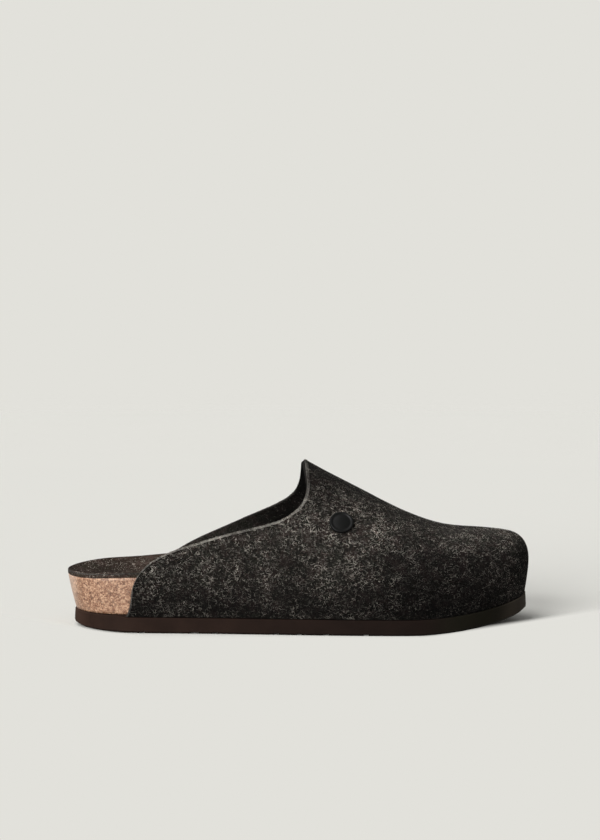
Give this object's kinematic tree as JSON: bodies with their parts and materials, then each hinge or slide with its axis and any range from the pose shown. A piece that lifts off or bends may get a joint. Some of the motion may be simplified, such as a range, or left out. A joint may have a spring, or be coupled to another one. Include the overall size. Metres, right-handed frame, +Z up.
{
  "type": "clog slipper",
  "caption": "Backless felt clog slipper for the right foot, with a moulded cork footbed, felt insole and a thin sprung sole.",
  "frame": {"origin": "middle of the bounding box at floor level, under the arch", "axes": "+X from the heel to the toe, +Y to the inner side of the right foot, +Z up from the floor"},
  "size_m": [0.2798, 0.1044, 0.1009],
  "materials": {
    "sole_rubber": "matte",
    "cork": "satin",
    "insole_felt": "matte",
    "grey_felt": "matte",
    "stud_plastic": "satin"
  },
  "bodies": {
    "root": {"outsole": "sole_rubber", "cork_footbed": "cork", "insole": "insole_felt", "upper": "grey_felt", "side_stud": "stud_plastic"}
  },
  "joints": []
}
